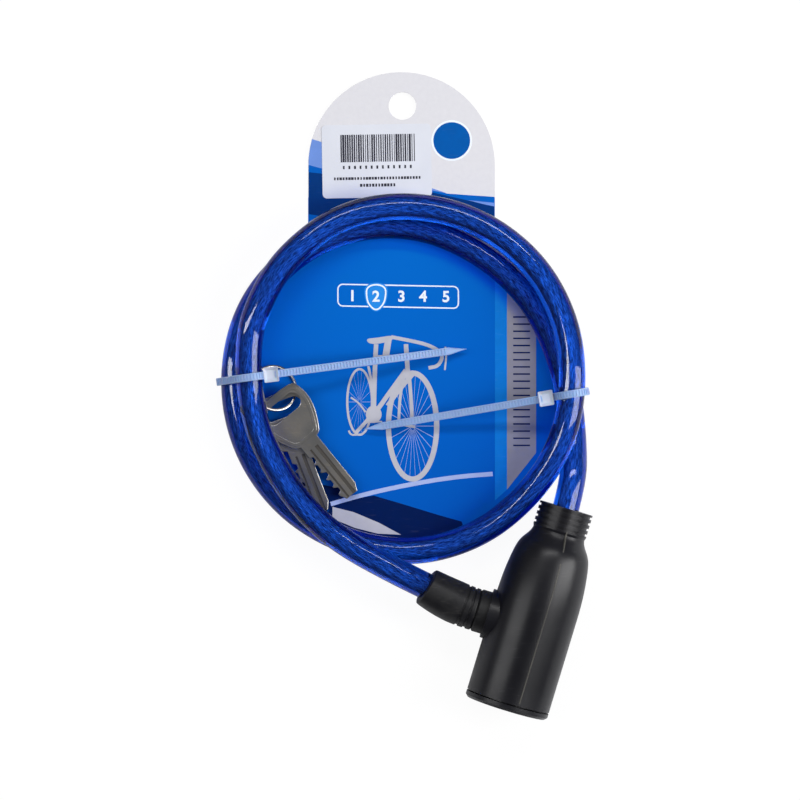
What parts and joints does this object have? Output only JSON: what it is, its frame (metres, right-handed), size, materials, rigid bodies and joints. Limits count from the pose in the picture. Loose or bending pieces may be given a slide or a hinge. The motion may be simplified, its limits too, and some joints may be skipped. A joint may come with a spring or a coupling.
{
  "type": "cable lock",
  "caption": "Key-operated cable lock, coiled on a die-cut hang card with nylon ties and keys; the plug pulls out of the barrel's side when the core is unlocked.",
  "frame": {"origin": "middle of the base: the centre of the whole lock and card seen from above, at the height of its lowest points", "axes": "+Z out of the card's printed face, +Y towards the hang hole, +X to the right of someone reading the card"},
  "size_m": [0.1242, 0.2138, 0.028],
  "materials": {
    "clear_blue_cover": "clear tinted vinyl cover, glossy",
    "steel_rope": "twisted galvanised wires",
    "black_vinyl": "satin soft vinyl",
    "black_plastic": "moulded, matt",
    "zinc": "die-cast zinc, as cast",
    "brass_core": "turned brass",
    "brass_wafer": "stamped brass",
    "spring_steel": "bright spring wire",
    "bolt_steel": "turned steel, plated",
    "nickel_wire": "nickel-plated wire",
    "nickel_key": "stamped, nickel-plated, worn",
    "printed_card": "printed gloss card",
    "paper_label": "white paper label",
    "natural_nylon": "natural nylon, slightly clear"
  },
  "bodies": {
    "lock_barrel": {"outer_sleeve": "black_vinyl", "lock_case": "zinc", "core_housing": "zinc", "end_cap": "black_vinyl", "socket_collar": "black_plastic", "cable_ferrule": "bolt_steel", "ferrule_pin": "bolt_steel", "cable_sheath_coil": "clear_blue_cover", "wire_rope_coil": "steel_rope", "hang_card": "printed_card", "price_label": "paper_label", "left_tie": "natural_nylon", "right_tie": "natural_nylon"},
    "core": {"lock_core": "brass_core", "core_clip": "spring_steel", "core_cam": "zinc", "wafer_springs": "spring_steel"},
    "latch": {"latch_bar": "bolt_steel"},
    "wafer_1": {"wafer_1": "brass_wafer"},
    "wafer_2": {"wafer_2": "brass_wafer"},
    "wafer_3": {"wafer_3": "brass_wafer"},
    "wafer_4": {"wafer_4": "brass_wafer"},
    "wafer_5": {"wafer_5": "brass_wafer"},
    "plug": {"locking_bolt": "bolt_steel", "bolt_ferrule": "bolt_steel", "plug_boot": "black_vinyl", "cable_sheath_tail": "clear_blue_cover", "wire_rope_tail": "steel_rope"},
    "ring": {"key_ring": "nickel_wire"},
    "upper_key": {"key_1": "nickel_key"},
    "lower_key": {"key_2": "nickel_key"}
  },
  "joints": [
    {"name": "bolt_pull", "type": "slide", "parent": "lock_barrel", "child": "plug", "axis": [-0.9568, 0.2907, 0], "range_m": [0, 0.0245], "deforming": ["cable_sheath_tail", "wire_rope_tail"]},
    {"name": "core_turn", "type": "hinge", "parent": "lock_barrel", "child": "core", "pos_m": [0.03356, -0.10308, 0.014], "axis": [0.2907, 0.9568, 0], "range_deg": [0, 90]},
    {"name": "latch_slide", "type": "slide", "parent": "lock_barrel", "child": "latch", "axis": [0, 0, 1], "range_m": [0, 0.00255]},
    {"name": "wafer_1_slide", "type": "slide", "parent": "core", "child": "wafer_1", "axis": [0, 0, 1], "range_m": [0, 0.0008]},
    {"name": "wafer_2_slide", "type": "slide", "parent": "core", "child": "wafer_2", "axis": [0, 0, 1], "range_m": [0, 0.0008]},
    {"name": "wafer_3_slide", "type": "slide", "parent": "core", "child": "wafer_3", "axis": [0, 0, 1], "range_m": [0, 0.0008]},
    {"name": "wafer_4_slide", "type": "slide", "parent": "core", "child": "wafer_4", "axis": [0, 0, 1], "range_m": [0, 0.0008]},
    {"name": "wafer_5_slide", "type": "slide", "parent": "core", "child": "wafer_5", "axis": [0, 0, 1], "range_m": [0, 0.0008]},
    {"name": "ring_swing", "type": "hinge", "parent": "lock_barrel", "child": "ring", "pos_m": [-0.04384, 0.00642, 0.0057], "axis": [0, 0, 1], "range_deg": [-3, 8]},
    {"name": "upper_key_swing", "type": "hinge", "parent": "ring", "child": "upper_key", "pos_m": [-0.04004, -0.00493, 0.0066], "axis": [0, 0, 1], "range_deg": [-5, 6]},
    {"name": "lower_key_swing", "type": "hinge", "parent": "ring", "child": "lower_key", "pos_m": [-0.04024, -0.00498, 0.0049], "axis": [0, 0, 1], "range_deg": [-5, 8]}
  ],
  "couplings": [
    {"joint": "latch_slide", "follows": "core_turn", "m_per_rad": 0.0016206}
  ]
}
